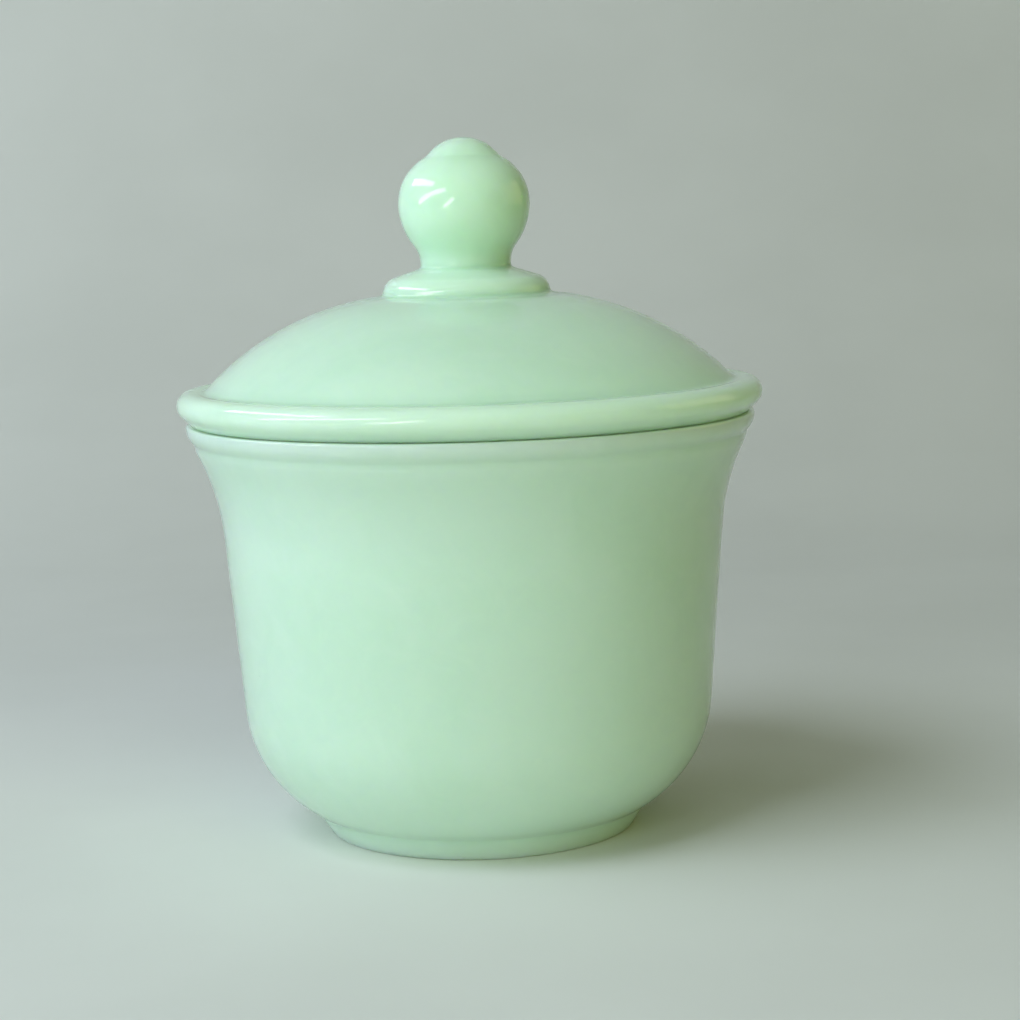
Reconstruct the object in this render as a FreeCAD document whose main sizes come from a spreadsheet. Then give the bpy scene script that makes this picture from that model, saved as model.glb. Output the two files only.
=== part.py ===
import FreeCAD, Part
import math
import os

import Sketcher
from FreeCAD import Vector

# Covered jar of pressed opaque glass, in two loose pieces: a footed bowl with a flared and beaded rim,
# and a domed lid whose ball knob is moulded in one with it. Both are solids of revolution about Z.
# The origin is the centre of the ring that the jar stands on. Millimetres throughout.

SHEET_NAME = "Sizes"
NEAR = 0.001  # two points closer than this are the same corner

# Driving dimensions: name, millimetres, what it measures. Bowl heights are above the resting plane.
BOWL_SIZES = (
    ("foot_radius", 29.05, "outside of the foot ring where it rests"),
    ("foot_edge", 0.8, "rounding of the two edges that the jar stands on"),
    ("cove_radius", 31.8, "corner between foot and belly, before it is rounded"),
    ("cove_height", 4.2, "height of that corner"),
    ("cove_round", 2.5, "rounding of that corner"),
    ("wall_low_radius", 44.25, "outside of the wall where the belly ends"),
    ("wall_low_height", 23.5, "height where the belly ends"),
    ("wall_high_radius", 46.95, "outside of the wall where the flare begins"),
    ("wall_high_height", 57.0, "height where the flare begins"),
    ("flare_radius", 51.45, "outside of the flare at its end"),
    ("flare_height", 72.9, "height where the flare ends"),
    ("flare_round", 6.0, "rounding there"),
    ("bead_foot_radius", 51.8, "outside of the bowl under the rim bead"),
    ("bead_foot_height", 74.5, "height where the rim bead begins"),
    ("bead_foot_round", 1.6, "rounding there"),
    ("bead_radius", 53.15, "widest point of the rim bead"),
    ("bead_height", 77.45, "height of that point"),
    ("crown_radius", 52.6, "outer edge of the flat top of the rim"),
    ("rim_height", 78.0, "height of the bowl"),
    ("mouth_radius", 48.8, "inside of the rim, before it is rounded"),
    ("mouth_round", 1.5, "rounding of the inner edge of the rim"),
    ("wall_thickness", 4.2, "glass thickness along the wall"),
    ("floor_height", 8.5, "inside floor of the bowl"),
    ("floor_radius", 26.0, "edge of the flat floor, where the inside curves up to the wall"),
    ("recess_radius", 25.6, "inside of the foot ring where it rests"),
    ("recess_draft", 1.4, "how much the foot ring's inside narrows upwards"),
    ("recess_depth", 1.8, "depth of the hollow under the base"),
)

# Lid heights are above its seat, the flat underside of the flange that rests on the rim.
LID_SIZES = (
    ("seat_gap", 0.05, "air between the rim and the lid's seat"),
    ("ring_depth", 3.5, "how far the locating ring reaches below the seat"),
    ("ring_radius", 45.5, "outside of the locating ring"),
    ("ring_thickness", 3.2, "radial thickness of the locating ring"),
    ("ring_edge", 1.0, "rounding of the locating ring's edges"),
    ("seat_radius", 52.15, "outer edge of the flat seat"),
    ("under_round", 25.0, "radius of the flange's curve from seat to nose"),
    ("nose_radius", 55.6, "widest point of the flange, before it is rounded"),
    ("nose_height", 3.7, "height of the widest point"),
    ("nose_round", 2.5, "rounding of the widest point"),
    ("over_round", 4.6, "radius of the flange's curve from nose to dome"),
    ("dome_radius", 49.7, "where the dome rises from the flange"),
    ("dome_height", 5.72, "height where the dome begins"),
    ("dome_root", 1.6, "rounding between flange and dome"),
    ("dome_curve", 55.0, "radius of the dome's arc"),
    ("collar_radius", 15.65, "where the dome meets the knob's collar"),
    ("collar_height", 22.6, "height where the collar begins"),
    ("collar_root", 0.8, "rounding between dome and collar, and between collar and neck"),
    ("collar_top_radius", 13.4, "outer edge of the collar's sloping top"),
    ("collar_top_height", 25.83, "height of that edge"),
    ("neck_radius", 8.45, "neck of the knob"),
    ("neck_foot_height", 27.45, "height where the neck rises from the collar"),
    ("neck_height", 30.3, "height where the neck widens into the ball"),
    ("neck_round", 5.2, "rounding between neck and ball"),
    ("ball_radius", 12.25, "widest point of the ball"),
    ("ball_height", 39.3, "height of the ball's widest point"),
    ("nub_radius", 6.77, "where the ball meets the rounded nub on top of it"),
    ("nub_height", 47.98, "height where the nub begins"),
    ("nub_round", 3.5, "rounding between ball and nub"),
    ("knob_height", 51.45, "top of the knob"),
    ("hollow_edge_height", 6.55, "lowest point of the dome's inside"),
    ("hollow_edge_round", 3.0, "rounding there"),
    ("hollow_top_height", 19.95, "highest point of the dome's inside"),
)


class Size:
    """A length from the sheet: its number, and the formula that keeps a constraint bound to it."""

    def __init__(self, number, formula):
        self.number = number
        self.formula = formula

    def __add__(self, other):
        return Size(self.number + other.number, f"{self.formula} + {other.formula}")

    def __sub__(self, other):
        return Size(self.number - other.number, f"{self.formula} - {other.formula}")


ZERO = Size(0.0, "0")


def make_sheet(doc):
    """Fill the sheet, one row for each driving dimension, and return the sizes by name."""
    sheet = doc.addObject("Spreadsheet::Sheet", SHEET_NAME)
    sizes = {}
    for row, (name, number, meaning) in enumerate(BOWL_SIZES + LID_SIZES, start=1):
        sheet.set(f"A{row}", meaning)
        sheet.set(f"B{row}", str(number))
        sheet.setAlias(f"B{row}", name)
        sizes[name] = Size(number, f"{SHEET_NAME}.{name}")
    doc.recompute()
    return sizes


class Outline:
    """A closed outline in a body's XZ plane, drawn corner by corner.

    A corner is a (radius, height) pair of sizes. Each corner's place is bound to the sheet, and an arc
    is held by its two corners and by one more rule: a bound radius, a centre level with one of its
    corners, a centre on the axis, or a smooth join with its neighbour.
    """

    def __init__(self, body, name, corner):
        self.sketch = body.newObject("Sketcher::SketchObject", name)
        plane = next(item for item in body.Origin.OriginFeatures if item.Role == "XZ_Plane")
        self.sketch.AttachmentSupport = (plane, "")
        self.sketch.MapMode = "FlatFace"
        self.first = corner
        self.corner = corner
        self.ends = []

    def line_to(self, corner, smooth=False):
        """Draw a straight edge to the corner; smooth makes it leave the edge before it without a bend."""
        self._add_edge(Part.LineSegment(place(self.corner), place(corner)), corner, smooth)

    def arc_by_radius(self, corner, radius):
        """Draw an arc of the given radius, bulging away from the axis, to the corner."""
        start, end = place(self.corner), place(corner)
        chord = end - start
        inward = Vector(-chord.y, chord.x, 0).normalize()
        half = chord.Length / 2
        centre = (start + end) / 2 + inward * (radius.number ** 2 - half ** 2) ** 0.5
        edge = self._add_arc(centre, corner)
        self._bind("Radius", edge, radius)

    def arc_level_with(self, corner, level):
        """Draw an arc to the corner, with its centre at the height of the corner named level."""
        centre = centre_on_line(place(self.corner), place(corner), place(level), Vector(1, 0, 0))
        edge = self._add_arc(centre, corner)
        self._bind("DistanceY", edge, level[1], position=3)

    def arc_about_axis(self, corner):
        """Draw an arc to the corner, with its centre on the axis."""
        centre = centre_on_line(place(self.corner), place(corner), Vector(), Vector(0, 1, 0))
        edge = self._add_arc(centre, corner)
        self.sketch.addConstraint(Sketcher.Constraint("PointOnObject", edge, 3, -2))

    def arc_after_line(self, corner, line_start):
        """Draw an arc to the corner that leaves the edge before it, a line, smoothly."""
        start = place(self.corner)
        along = start - place(line_start)
        centre = centre_on_line(start, place(corner), start, Vector(-along.y, along.x, 0))
        self._add_arc(centre, corner, smooth=True)

    def arc_before_line(self, corner, line_end):
        """Draw an arc to the corner that runs smoothly into the next edge, a line to line_end."""
        end = place(corner)
        along = place(line_end) - end
        centre = centre_on_line(place(self.corner), end, end, Vector(-along.y, along.x, 0))
        self._add_arc(centre, corner)
        self.line_to(line_end, smooth=True)

    def close(self):
        """Draw the straight edge back to the first corner, and return the sketch."""
        self.line_to(self.first)
        if self.sketch.solve() != 0 or not self.sketch.FullyConstrained:
            raise RuntimeError(f"{self.sketch.Name} is not held by its constraints")
        return self.sketch

    def _add_arc(self, centre, corner, smooth=False):
        """Add the shorter arc about the centre; arcs run anticlockwise from point 1 to point 2."""
        start, end = place(self.corner) - centre, place(corner) - centre
        anticlockwise = start.cross(end).z > 0
        first, last = (start, end) if anticlockwise else (end, start)
        circle = Part.Circle(centre, Vector(0, 0, 1), start.Length)
        arc = Part.ArcOfCircle(circle, math.atan2(first.y, first.x), math.atan2(last.y, last.x))
        return self._add_edge(arc, corner, smooth, begins_first=anticlockwise)

    def _add_edge(self, curve, corner, smooth, begins_first=True):
        """Add one edge, join it to the edge before it, and bind the corner that it ends at."""
        edge = self.sketch.addGeometry(curve, False)
        begin, end = (1, 2) if begins_first else (2, 1)
        if self.ends:
            kind = "Tangent" if smooth else "Coincident"
            previous = self.ends[-1]
            self.sketch.addConstraint(Sketcher.Constraint(kind, edge - 1, previous[1], edge, begin))
        self.ends.append((begin, end))
        if corner is self.first:
            self.sketch.addConstraint(Sketcher.Constraint("Coincident", edge, end, 0, self.ends[0][0]))
        self._bind("DistanceX", edge, corner[0], position=end)
        self._bind("DistanceY", edge, corner[1], position=end)
        self.corner = corner
        return edge

    def _bind(self, kind, edge, size, position=0):
        """Hold a radius, or the place of one point of an edge, at a size from the sheet."""
        if size is ZERO:
            axis = -2 if kind == "DistanceX" else -1
            self.sketch.addConstraint(Sketcher.Constraint("PointOnObject", edge, position, axis))
            return
        if kind == "Radius":
            constraint = Sketcher.Constraint(kind, edge, size.number)
        else:
            constraint = Sketcher.Constraint(kind, -1, 1, edge, position, size.number)
        number = self.sketch.addConstraint(constraint)
        self.sketch.setExpression(f"Constraints[{number}]", size.formula)


def place(corner):
    """The point of the sketch plane where a corner lies."""
    return Vector(corner[0].number, corner[1].number, 0)


def centre_on_line(start, end, point, along):
    """Centre of the arc from start to end whose centre lies on the line through point."""
    chord = end - start
    middle = (start + end) / 2
    return point + along * ((middle - point).dot(chord) / along.dot(chord))


def revolve(body, name, sketch, kind="Revolution"):
    """Turn the outline about the axis: a Revolution adds glass, a Groove takes it away."""
    before = 0.0 if body.Tip is None else body.Tip.Shape.Volume
    feature = body.newObject(f"PartDesign::{kind}", name)
    feature.Profile = sketch
    feature.ReferenceAxis = (sketch, ["V_Axis"])
    feature.Angle = 360.0
    sketch.Document.recompute()
    if kind == "Groove" and feature.Shape.Volume >= before:
        raise RuntimeError(f"{name} took no glass away")
    return feature


def round_edge(body, name, corner, radius):
    """Round the circular edge that passes through a corner of the outline."""
    base = body.Tip
    target = place(corner)
    names = []
    for number, edge in enumerate(base.Shape.Edges, start=1):
        if edge.Degenerated or not isinstance(edge.Curve, Part.Circle):
            continue
        offset = Vector(edge.Curve.Radius, edge.Curve.Center.z, 0) - target
        if offset.Length < NEAR:
            names.append(f"Edge{number}")
    if len(names) != 1:
        raise RuntimeError(f"{name} found {len(names)} edges")
    fillet = body.newObject("PartDesign::Fillet", name)
    fillet.Base = (base, names)
    fillet.setExpression("Radius", radius.formula)
    body.Document.recompute()
    return fillet


def make_bowl(doc, size):
    """The bowl: foot ring, rounded belly, tapered wall, flare and beaded rim, hollowed from above."""
    body = doc.addObject("PartDesign::Body", "Bowl")
    body.Label = "bowl"

    foot = (size["foot_radius"], ZERO)
    cove = (size["cove_radius"], size["cove_height"])
    wall_low = (size["wall_low_radius"], size["wall_low_height"])
    wall_high = (size["wall_high_radius"], size["wall_high_height"])
    flare = (size["flare_radius"], size["flare_height"])
    bead_foot = (size["bead_foot_radius"], size["bead_foot_height"])
    bead = (size["bead_radius"], size["bead_height"])
    crown = (size["crown_radius"], size["rim_height"])
    outside = Outline(body, "BowlOutside", (ZERO, ZERO))
    outside.line_to(foot)
    outside.line_to(cove)
    outside.arc_before_line(wall_low, wall_high)
    outside.arc_after_line(flare, wall_low)
    outside.line_to(bead_foot)
    outside.arc_level_with(bead, bead)
    outside.arc_before_line(crown, (ZERO, size["rim_height"]))
    revolve(body, "BowlBlank", outside.close())

    thickness = size["wall_thickness"]
    floor = (size["floor_radius"], size["floor_height"])
    inner_low = (size["wall_low_radius"] - thickness, size["wall_low_height"])
    inner_high = (size["wall_high_radius"] - thickness, size["wall_high_height"])
    mouth = (size["mouth_radius"], size["rim_height"])
    inside = Outline(body, "BowlInside", (ZERO, size["floor_height"]))
    inside.line_to(floor)
    inside.arc_before_line(inner_low, inner_high)
    inside.arc_after_line(mouth, inner_low)
    inside.line_to((ZERO, size["rim_height"]))
    revolve(body, "BowlCavity", inside.close(), "Groove")

    recess_top = size["recess_radius"] - size["recess_draft"]
    recess = (size["recess_radius"], ZERO)
    under = Outline(body, "BowlUnderside", (ZERO, ZERO))
    under.line_to(recess)
    under.line_to((recess_top, size["recess_depth"]))
    under.line_to((ZERO, size["recess_depth"]))
    revolve(body, "FootRecess", under.close(), "Groove")

    round_edge(body, "CoveRound", cove, size["cove_round"])
    round_edge(body, "FlareRound", flare, size["flare_round"])
    round_edge(body, "BeadFootRound", bead_foot, size["bead_foot_round"])
    round_edge(body, "MouthRound", mouth, size["mouth_round"])
    round_edge(body, "FootOuterEdge", foot, size["foot_edge"])
    round_edge(body, "FootInnerEdge", recess, size["foot_edge"])
    return body


def make_lid(doc, size):
    """The lid: locating ring, flange, dome and knob, hollowed from below; it stands on its ring."""
    body = doc.addObject("PartDesign::Body", "Lid")
    body.Label = "lid"
    seat_level = size["ring_depth"]

    def above_seat(radius, height):
        return (size[radius], seat_level + size[height])

    ring_low = (size["ring_radius"], ZERO)
    ring_root = (size["ring_radius"], seat_level)
    nose = above_seat("nose_radius", "nose_height")
    dome = above_seat("dome_radius", "dome_height")
    collar = above_seat("collar_radius", "collar_height")
    collar_top = above_seat("collar_top_radius", "collar_top_height")
    neck_root = above_seat("neck_radius", "neck_foot_height")
    neck = above_seat("neck_radius", "neck_height")
    ball = above_seat("ball_radius", "ball_height")
    nub = above_seat("nub_radius", "nub_height")
    outside = Outline(body, "LidOutside", (ZERO, ZERO))
    outside.line_to(ring_low)
    outside.line_to(ring_root)
    outside.line_to((size["seat_radius"], seat_level))
    outside.arc_by_radius(nose, size["under_round"])
    outside.arc_by_radius(dome, size["over_round"])
    outside.arc_by_radius(collar, size["dome_curve"])
    outside.arc_before_line(collar_top, neck_root)
    outside.line_to(neck)
    outside.arc_level_with(ball, ball)
    outside.arc_level_with(nub, ball)
    outside.arc_about_axis((ZERO, seat_level + size["knob_height"]))
    revolve(body, "LidBlank", outside.close())

    ring_inside = (size["ring_radius"] - size["ring_thickness"], ZERO)
    hollow_edge = (ring_inside[0], seat_level + size["hollow_edge_height"])
    hollow = Outline(body, "LidHollow", (ZERO, ZERO))
    hollow.line_to(ring_inside)
    hollow.line_to(hollow_edge)
    hollow.arc_about_axis((ZERO, seat_level + size["hollow_top_height"]))
    revolve(body, "LidUnderside", hollow.close(), "Groove")

    round_edge(body, "NoseRound", nose, size["nose_round"])
    round_edge(body, "DomeRoot", dome, size["dome_root"])
    round_edge(body, "CollarRoot", collar, size["collar_root"])
    round_edge(body, "NeckRoot", neck_root, size["collar_root"])
    round_edge(body, "NeckRound", neck, size["neck_round"])
    round_edge(body, "NubRound", nub, size["nub_round"])
    round_edge(body, "RingOuterEdge", ring_low, size["ring_edge"])
    round_edge(body, "RingInnerEdge", ring_inside, size["ring_edge"])
    round_edge(body, "RingRoot", ring_root, size["ring_edge"])
    round_edge(body, "HollowEdge", hollow_edge, size["hollow_edge_round"])

    rest = size["rim_height"] + size["seat_gap"] - seat_level
    body.setExpression("Placement.Base.z", rest.formula)
    return body


def check(doc, bodies):
    """Stop if any object of the document failed, or any sub-part is missing, broken or in two pieces."""
    for item in doc.Objects:
        if "Invalid" in item.State or "Error" in item.State:
            raise RuntimeError(f"{item.Name} failed: {item.State}")
    for body in bodies:
        if body.Shape.isNull() or not body.Shape.isValid() or len(body.Shape.Solids) != 1:
            raise RuntimeError(f"{body.Label} is not one valid solid")


def write_parts(bodies):
    """Write each sub-part to its own STEP file, and print its size."""
    os.makedirs("parts", exist_ok=True)
    for body in bodies:
        box = body.Shape.optimalBoundingBox()
        print(f"{body.Label}: {box.XLength:.2f} x {box.YLength:.2f} x {box.ZLength:.2f} mm, "
              f"z {box.ZMin:.2f} to {box.ZMax:.2f}, {body.Shape.Volume / 1000:.1f} cm3")
        body.Shape.exportStep(f"parts/{body.Label}.step")


def main():
    doc = FreeCAD.newDocument("CoveredJar")
    size = make_sheet(doc)
    bodies = [make_bowl(doc, size), make_lid(doc, size)]
    doc.recompute()
    check(doc, bodies)
    write_parts(bodies)


main()
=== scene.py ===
"""A covered jar of opaque jade-green pressed glass, on a pale table in soft studio light.

Both glass pieces are turned afresh from the outline of their CAD node, with even quads, the slight
waviness of pressed glass and the faint seam of a two-part mould. Metres throughout, in the CAD frame.
"""
import math

import bmesh
import bpy
import numpy as np
from mathutils import Matrix, Quaternion, Vector, noise


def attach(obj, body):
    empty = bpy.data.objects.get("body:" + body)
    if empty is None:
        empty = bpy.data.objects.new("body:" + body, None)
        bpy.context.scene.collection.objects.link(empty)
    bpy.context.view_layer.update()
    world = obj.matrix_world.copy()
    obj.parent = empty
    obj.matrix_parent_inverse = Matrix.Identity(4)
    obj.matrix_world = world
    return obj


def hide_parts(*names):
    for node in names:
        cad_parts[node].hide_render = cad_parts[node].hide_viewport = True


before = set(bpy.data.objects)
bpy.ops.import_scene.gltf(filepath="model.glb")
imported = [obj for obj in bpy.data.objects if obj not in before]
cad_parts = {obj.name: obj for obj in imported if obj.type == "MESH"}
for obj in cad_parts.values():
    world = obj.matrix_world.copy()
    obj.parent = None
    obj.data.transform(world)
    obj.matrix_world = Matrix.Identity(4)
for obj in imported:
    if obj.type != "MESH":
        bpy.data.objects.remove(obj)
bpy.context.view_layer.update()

MM = 0.001

# Turning the glass
SAME_POINT = 0.02 * MM  # section points closer than this are one
COLUMNS = 256  # round the axis
ROW_LENGTH = 1.3 * MM  # longest step along the outline
ROW_TURN = math.radians(7)  # largest bend in one step
CORNER_TURN = math.radians(12)  # a normal further than this off a step belongs to its neighbour

# Surface of pressed glass, pushed in from the turned outline by up to SKIN
SKIN = 0.10 * MM
SEAM_HEIGHT = 0.05 * MM
SEAM_WIDTH = 0.30 * MM
WAVE_LENGTH = 16 * MM
LEVEL_FADE = 1.5 * MM  # the skin closes towards the ring that the jar stands on
SEAM_COLUMNS = (0.0035, 0.007, 0.0105, 0.014)  # extra columns on each side of a seam, in radians

# Colours of the glass, from its darker clouds to its lighter ones, and of its streaks
GLASS_DEEP = (0.55, 0.77, 0.585, 1)
GLASS_PALE = (0.59, 0.80, 0.625, 1)
GLASS_STREAK = (0.63, 0.83, 0.665, 1)
CLOUD_SIZE, CLOUD_LIMITS = 38 * MM, (0.3, 0.7)  # deep at the first limit of the noise, pale at the second
STREAK_SIZE, STREAK_LIMITS = 9 * MM, (0.35, 0.75)
STREAK_AMOUNT = 0.25  # how far the strongest streak goes to its own colour
SCATTER_DEPTH = 8.0 * MM  # how far light wanders inside the glass
SCATTER_COLOUR = (1.0, 1.0, 0.75)
GLASS_IOR = 1.52

# Finish of the glass: its roughness where clean, where smudged, and what grinding adds under the foot
CLEAN, SMUDGED, GROUND = 0.035, 0.09, 0.4
SMUDGE_SIZE, SMUDGE_LIMITS = 14 * MM, (0.45, 0.75)
GROUND_LOW, GROUND_HIGH = 0.05 * MM, 0.5 * MM  # fully ground below, not at all above
RIPPLE_SIZE, RIPPLE_DEPTH = 4.5 * MM, 0.02 * MM
PIT_SPACING, PIT_DEPTH = 11 * MM, 0.03 * MM
PIT_RADIUS = 0.03  # as a part of the spacing
GRIT_SIZE, GRIT_DEPTH = 0.25 * MM, 0.05 * MM

# The table top and the backdrop that it sweeps up into
TABLE_DARK = (0.64, 0.65, 0.62, 1)
TABLE_LIGHT = (0.68, 0.69, 0.66, 1)
TABLE_ROUGHNESS = 0.7
TABLE_MOTTLE_SIZE, TABLE_MOTTLE_LIMITS = 120 * MM, (0.3, 0.7)
TABLE_REACH = 6.0  # to the front and to each side
BACKDROP_PLACE = 0.75  # behind the jar
BACKDROP_HEIGHT = 1.6
BACKDROP_BEND = 0.45  # radius of the sweep

# Colours of the light
WINDOW_COOL = (0.78, 0.885, 1.0)
ROOM_WARM = (0.95, 1.0, 0.28)
WALL_WARM = (1.0, 1.0, 0.5)
WHITE = (1.0, 1.0, 1.0)
ROOM_STRENGTH = 0.08
AIM_HEIGHT = 60 * MM  # every lamp faces this point of the jar's axis

# Camera
CAMERA_PLACE = Vector((0, -450, 118.7)) * MM
CAMERA_DOWN = math.radians(7.48)
CAMERA_YAW = math.radians(0.88)
CAMERA_ROLL = math.radians(-1.64)
CAMERA_LENS = 84.85  # mm, on the 36 mm sensor


# ---------------------------------------------------------------- turning the glass

def half_section(mesh):
    """The mesh's outline in the XZ plane at X > 0, as (radius, height) points from axis to axis."""
    cut = bmesh.new()
    cut.from_mesh(mesh)
    bmesh.ops.remove_doubles(cut, verts=cut.verts, dist=SAME_POINT / 2)
    everything = cut.verts[:] + cut.edges[:] + cut.faces[:]
    bmesh.ops.bisect_plane(
        cut, geom=everything, dist=SAME_POINT / 20, plane_co=(0, 0, 0), plane_no=(0, 1, 0))
    neighbours = {}
    for edge in cut.edges:
        if all(abs(v.co.y) < SAME_POINT / 10 and v.co.x > -SAME_POINT for v in edge.verts):
            for here, there in (edge.verts, reversed(edge.verts)):
                neighbours.setdefault(here, []).append(there)
    ends = [v for v, near in neighbours.items() if len(near) == 1]
    path = [min(ends, key=lambda v: v.co.z)]
    path.append(neighbours[path[0]][0])
    while len(neighbours[path[-1]]) == 2:
        path.append(next(v for v in neighbours[path[-1]] if v is not path[-2]))
    points = [(v.co.x, v.co.z) for v in path if v.co.x > SAME_POINT]
    first, last = (0.0, path[0].co.z), (0.0, path[-1].co.z)
    cut.free()
    return np.array([first, *points, last])


def surface_directions(mesh):
    """For each face corner of the mesh: its (radius, height), and which way the outline runs there."""
    count = len(mesh.loops)
    vertex = np.empty(count, np.int32)
    mesh.loops.foreach_get("vertex_index", vertex)
    place = np.empty(len(mesh.vertices) * 3, np.float32)
    mesh.vertices.foreach_get("co", place)
    place = place.reshape(-1, 3)[vertex]
    normal = np.empty(count * 3, np.float32)
    mesh.corner_normals.foreach_get("vector", normal)
    normal = normal.reshape(-1, 3)
    radius = np.hypot(place[:, 0], place[:, 1])
    outward = (normal[:, :2] * place[:, :2]).sum(1) / np.maximum(radius, SAME_POINT)
    direction = np.arctan2(normal[:, 2], outward) + math.pi / 2
    return np.stack([radius, place[:, 2]], 1), direction


def turned_outline(mesh):
    """Points along the outline, close enough to look round, and the crisp corners among them."""
    section = half_section(mesh)
    corners, direction = surface_directions(mesh)

    def heading(point, chord):
        """Which way the outline runs at one end of a step whose chord runs that way."""
        here = np.hypot(*(corners - point).T) < SAME_POINT
        bend = (direction[here] - chord + math.pi) % (2 * math.pi) - math.pi
        bend = bend[np.abs(bend) < CORNER_TURN]
        return chord + (float(np.median(bend)) if len(bend) else 0.0)

    rows, crisp, arriving = [section[0]], set(), None
    for start, end in zip(section, section[1:]):
        step = end - start
        length, chord = np.hypot(*step), math.atan2(step[1], step[0])
        leave, arrive = heading(start, chord), heading(end, chord)
        if arriving is not None and abs(math.remainder(leave - arriving, 2 * math.pi)) > CORNER_TURN:
            crisp.add(len(rows) - 1)
        arriving = arrive
        parts = math.ceil(max(length / ROW_LENGTH, abs(arrive - leave) / ROW_TURN, 1))
        pull_out = length * np.array((math.cos(leave), math.sin(leave)))
        pull_in = length * np.array((math.cos(arrive), math.sin(arrive)))
        for t in np.arange(1, parts + 1) / parts:
            rows.append(
                start * (2 * t ** 3 - 3 * t ** 2 + 1) + end * (3 * t ** 2 - 2 * t ** 3)
                + pull_out * (t ** 3 - 2 * t ** 2 + t) + pull_in * (t ** 3 - t ** 2)
            )
    return np.array(rows), crisp


def column_angles():
    """Even columns round the axis, and a few more beside the two mould seams, at +X and -X."""
    angles = {2 * math.pi * k / COLUMNS for k in range(COLUMNS)}
    for seam in (0, math.pi):
        for offset in SEAM_COLUMNS:
            angles |= {(seam - offset) % (2 * math.pi), seam + offset}
    return sorted(angles)


def turn_glass(name, node, seed):
    """Turn the node's outline about Z into a new piece, with a slightly uneven pressed surface."""
    rows, crisp = turned_outline(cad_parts[node].data)
    along = np.gradient(rows, axis=0)
    along /= np.hypot(*along.T)[:, None]
    outward = np.stack([along[:, 1], -along[:, 0]], 1)
    angles = column_angles()
    body = bmesh.new()
    rings = []
    for (radius, height), (normal_r, normal_z) in zip(rows, outward):
        if radius < SAME_POINT:
            rings.append([body.verts.new((0, 0, height - normal_z * SKIN / 2))])
            continue
        ring = []
        for angle in angles:
            way = Vector((math.cos(angle), math.sin(angle), 0))
            place = way * radius + Vector((0, 0, height))
            wave = 0.5 + 0.5 * noise.noise((place + Vector((seed, 0, 0))) / WAVE_LENGTH)
            off_seam = radius * math.asin(abs(math.sin(angle)))
            seam = SEAM_HEIGHT * math.exp(-((off_seam / SEAM_WIDTH) ** 2)) if normal_r > 0 else 0
            depth = SKIN * wave * 0.5 + SEAM_HEIGHT - seam
            depth *= min(1, height / LEVEL_FADE)
            ring.append(body.verts.new(place - (way * normal_r + Vector((0, 0, normal_z))) * depth))
        rings.append(ring)
    for index, (near, far) in enumerate(zip(rings, rings[1:])):
        for k in range(len(angles)):
            after = (k + 1) % len(angles)
            corners = [near[k % len(near)], near[after % len(near)],
                       far[after % len(far)], far[k % len(far)]]
            body.faces.new(list(dict.fromkeys(corners)))
        if index in crisp:
            for k in range(len(angles)):
                body.edges.get((near[k], near[(k + 1) % len(angles)])).smooth = False
    for face in body.faces:
        face.smooth = True
    bmesh.ops.recalc_face_normals(body, faces=body.faces)
    mesh = bpy.data.meshes.new(name)
    body.to_mesh(mesh)
    body.free()
    piece = bpy.data.objects.new(name, mesh)
    bpy.context.scene.collection.objects.link(piece)
    return piece


# ---------------------------------------------------------------- materials

class Nodes:
    """A material's node tree, filled one node at a time."""

    def __init__(self, name):
        self.material = bpy.data.materials.new(name)
        self.material.use_nodes = True
        self.tree = self.material.node_tree
        self.shader = self.tree.nodes["Principled BSDF"]
        self.place = self.add("ShaderNodeTexCoord").outputs["Object"]

    def add(self, kind, inputs=None, **settings):
        node = self.tree.nodes.new(kind)
        for key, value in settings.items():
            setattr(node, key, value)
        for key, value in (inputs or {}).items():
            self.feed(node.inputs[key], value)
        return node

    def feed(self, socket, value):
        if isinstance(value, bpy.types.NodeSocket):
            self.tree.links.new(value, socket)
        else:
            socket.default_value = value

    def noise(self, size, detail=2.0, roughness=0.5, distortion=0.0):
        """Noise from 0 to 1 whose lumps are about size across."""
        node = self.add("ShaderNodeTexNoise", {
            "Vector": self.place, "Scale": 1 / size, "Detail": detail,
            "Roughness": roughness, "Distortion": distortion})
        return node.outputs["Fac"]

    def ramp(self, value, low, high, to_low=0.0, to_high=1.0):
        """Value from low to high, mapped to to_low up to to_high."""
        node = self.add("ShaderNodeMapRange", {
            "Value": value, "From Min": low, "From Max": high, "To Min": to_low, "To Max": to_high},
            interpolation_type="SMOOTHSTEP")
        return node.outputs["Result"]

    def mix(self, factor, a, b):
        """Colour a where factor is 0, b where it is 1."""
        node = self.add("ShaderNodeMix", data_type="RGBA")
        self.feed(node.inputs["Factor"], factor)
        self.feed(node.inputs["A"], a)
        self.feed(node.inputs["B"], b)
        return node.outputs["Result"]

    def math(self, operation, *values):
        node = self.add("ShaderNodeMath", operation=operation)
        for socket, value in zip(node.inputs, values):
            self.feed(socket, value)
        return node.outputs[0]

    def bump(self, height, depth, normal=None):
        """A normal bent by height, which is depth deep where it runs from 0 to 1."""
        inputs = {"Height": height, "Distance": depth, "Strength": 1.0}
        if normal is not None:
            inputs["Normal"] = normal
        return self.add("ShaderNodeBump", inputs).outputs["Normal"]


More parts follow.
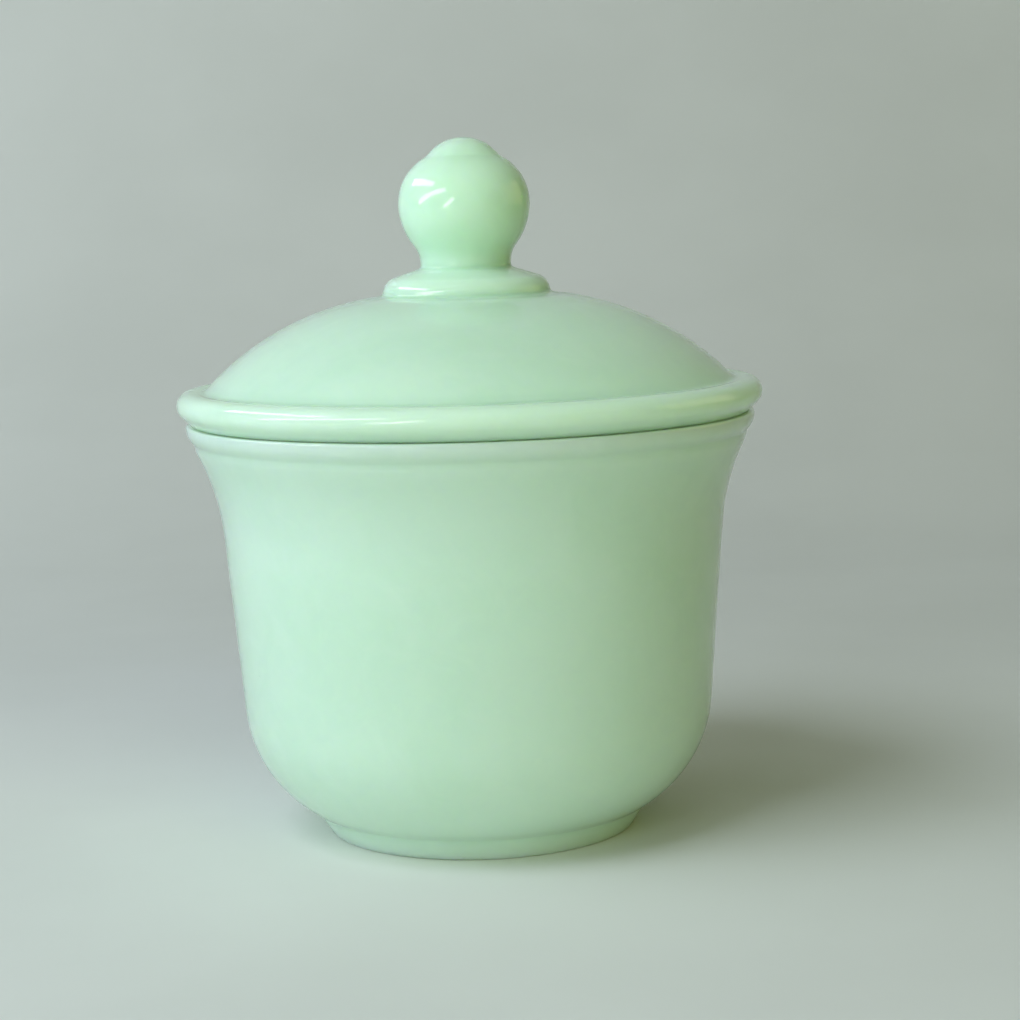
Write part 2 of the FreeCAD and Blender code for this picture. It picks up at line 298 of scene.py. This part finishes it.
def jade_glass():
    """Opaque jade-green glass: cloudy inside, glossy outside, ground dull where the jar stands."""
    m = Nodes("jade_glass")
    cloud = m.noise(CLOUD_SIZE, detail=3, distortion=0.8)
    streak = m.noise(STREAK_SIZE, detail=4, roughness=0.6, distortion=1.6)
    colour = m.mix(m.ramp(cloud, *CLOUD_LIMITS), GLASS_DEEP, GLASS_PALE)
    colour = m.mix(m.ramp(streak, *STREAK_LIMITS, 0.0, STREAK_AMOUNT), colour, GLASS_STREAK)
    m.feed(m.shader.inputs["Base Color"], colour)

    height = m.add("ShaderNodeSeparateXYZ", {"Vector": m.place}).outputs["Z"]
    ground = m.ramp(height, GROUND_HIGH, GROUND_LOW)
    smudge = m.noise(SMUDGE_SIZE, detail=5, roughness=0.65)
    gloss = m.ramp(smudge, *SMUDGE_LIMITS, CLEAN, SMUDGED)
    m.feed(m.shader.inputs["Roughness"], m.math("ADD", gloss, m.math("MULTIPLY", ground, GROUND)))

    cells = m.add("ShaderNodeTexVoronoi", {"Vector": m.place, "Scale": 1 / PIT_SPACING})
    pits = m.ramp(cells.outputs["Distance"], 0.0, PIT_RADIUS)
    ripple = m.noise(RIPPLE_SIZE, detail=1)
    grind = m.math("MULTIPLY", m.noise(GRIT_SIZE, detail=3), ground)
    normal = m.bump(ripple, RIPPLE_DEPTH)
    normal = m.bump(pits, PIT_DEPTH, normal)
    normal = m.bump(grind, GRIT_DEPTH, normal)
    m.feed(m.shader.inputs["Normal"], normal)

    m.shader.subsurface_method = "RANDOM_WALK"
    m.feed(m.shader.inputs["Subsurface Weight"], 1.0)
    m.feed(m.shader.inputs["Subsurface Radius"], SCATTER_COLOUR)
    m.feed(m.shader.inputs["Subsurface Scale"], SCATTER_DEPTH)
    m.feed(m.shader.inputs["IOR"], GLASS_IOR)
    return m.material


def pale_table():
    """Plain pale painted board, faintly uneven."""
    m = Nodes("pale_table")
    tone = m.noise(TABLE_MOTTLE_SIZE, detail=4)
    colour = m.mix(m.ramp(tone, *TABLE_MOTTLE_LIMITS), TABLE_DARK, TABLE_LIGHT)
    m.feed(m.shader.inputs["Base Color"], colour)
    m.feed(m.shader.inputs["Roughness"], TABLE_ROUGHNESS)
    return m.material


# ---------------------------------------------------------------- studio

def make_table():
    """A table top that sweeps up into a backdrop behind the jar, in one sheet."""
    turns = np.linspace(0, math.pi / 2, 24)[1:]
    side = [(-TABLE_REACH, 0.0), (BACKDROP_PLACE - BACKDROP_BEND, 0.0)]
    side += [(BACKDROP_PLACE - BACKDROP_BEND + BACKDROP_BEND * math.sin(turn),
              BACKDROP_BEND - BACKDROP_BEND * math.cos(turn)) for turn in turns]
    side.append((BACKDROP_PLACE, BACKDROP_HEIGHT))
    sheet = bmesh.new()
    lines = [[sheet.verts.new((x, y, z)) for y, z in side] for x in (-TABLE_REACH, TABLE_REACH)]
    for k in range(len(side) - 1):
        sheet.faces.new((lines[0][k], lines[1][k], lines[1][k + 1], lines[0][k + 1])).smooth = True
    mesh = bpy.data.meshes.new("table")
    sheet.to_mesh(mesh)
    sheet.free()
    table = bpy.data.objects.new("table", mesh)
    mesh.materials.append(pale_table())
    bpy.context.scene.collection.objects.link(table)


def softbox(name, azimuth, elevation, distance, width, height, power, colour, roll=0, streak=False):
    """An area light that faces the jar, at an azimuth to the right of the camera's side, in degrees.

    Roll turns it about the line to the jar. A streak shows only in reflections, and every other light
    shows in none.
    """
    light = bpy.data.lights.new(name, "AREA")
    light.shape = "RECTANGLE"
    light.size, light.size_y = width, height
    light.energy = power
    light.color = colour
    a, e = math.radians(azimuth), math.radians(elevation)
    way = Vector((math.sin(a) * math.cos(e), -math.cos(a) * math.cos(e), math.sin(e)))
    lamp = bpy.data.objects.new(name, light)
    lamp.location = Vector((0, 0, AIM_HEIGHT)) + way * distance
    facing = way.to_track_quat("Z", "Y") @ Quaternion((0, 0, 1), math.radians(roll))
    lamp.rotation_euler = facing.to_euler()
    lamp.visible_glossy = streak
    lamp.visible_diffuse = not streak
    lamp.visible_transmission = not streak
    lamp.visible_volume_scatter = not streak
    bpy.context.scene.collection.objects.link(lamp)


def light_studio():
    """Soft window light from the left, a warm fill, streaks of window reflection, and a dim room."""
    softbox("key_front", azimuth=-30, elevation=12, distance=1.1, width=0.7, height=0.6, power=5.1,
            colour=WINDOW_COOL)
    softbox("key_back", azimuth=-100, elevation=15, distance=1.1, width=0.7, height=0.6, power=3.3,
            colour=WINDOW_COOL)
    softbox("key_high", azimuth=-50, elevation=50, distance=1.1, width=0.7, height=0.7, power=8.6,
            colour=WINDOW_COOL)
    softbox("fill_front", azimuth=25, elevation=20, distance=1.2, width=0.8, height=0.8, power=2.6,
            colour=ROOM_WARM)
    softbox("pane_back", azimuth=-94, elevation=37, distance=1.0, width=0.86, height=0.17, power=3.0,
            colour=WHITE, roll=14, streak=True)
    softbox("pane_left", azimuth=-62, elevation=21, distance=1.0, width=1.0, height=0.17, power=3.3,
            colour=WHITE, roll=30, streak=True)
    softbox("pane_front", azimuth=-30, elevation=2, distance=1.0, width=0.66, height=0.15, power=1.9,
            colour=WHITE, roll=50, streak=True)
    softbox("sheen_right", azimuth=100, elevation=15, distance=1.0, width=0.8, height=0.5, power=1.1,
            colour=WALL_WARM, streak=True)
    world = bpy.data.worlds.new("room")
    world.use_nodes = True
    background = world.node_tree.nodes["Background"]
    background.inputs["Color"].default_value = (*WALL_WARM, 1)
    background.inputs["Strength"].default_value = ROOM_STRENGTH
    bpy.context.scene.world = world


def make_camera():
    """The camera in front of the jar and a little above it, looking down and slightly tilted."""
    forward = Vector((math.sin(CAMERA_YAW) * math.cos(CAMERA_DOWN),
                      math.cos(CAMERA_YAW) * math.cos(CAMERA_DOWN), -math.sin(CAMERA_DOWN)))
    right = Vector((math.cos(CAMERA_YAW), -math.sin(CAMERA_YAW), 0))
    up = right.cross(forward)
    level = Matrix((right, up, -forward)).transposed()
    camera = bpy.data.objects.new("camera", bpy.data.cameras.new("camera"))
    camera.data.lens = CAMERA_LENS
    camera.data.clip_start, camera.data.clip_end = 0.01, 10
    camera.matrix_world = (Matrix.Translation(CAMERA_PLACE)
                           @ level.to_4x4() @ Matrix.Rotation(CAMERA_ROLL, 4, "Z"))
    bpy.context.scene.collection.objects.link(camera)
    bpy.context.scene.camera = camera


# ---------------------------------------------------------------- the jar

make_camera()
glass = jade_glass()
for seed, node in enumerate(("bowl", "lid")):
    piece = turn_glass(node + "_glass", node, seed)
    piece.data.materials.append(glass)
    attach(piece, node)
    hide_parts(node)
make_table()
light_studio()
bpy.context.scene.view_settings.view_transform = "Standard"
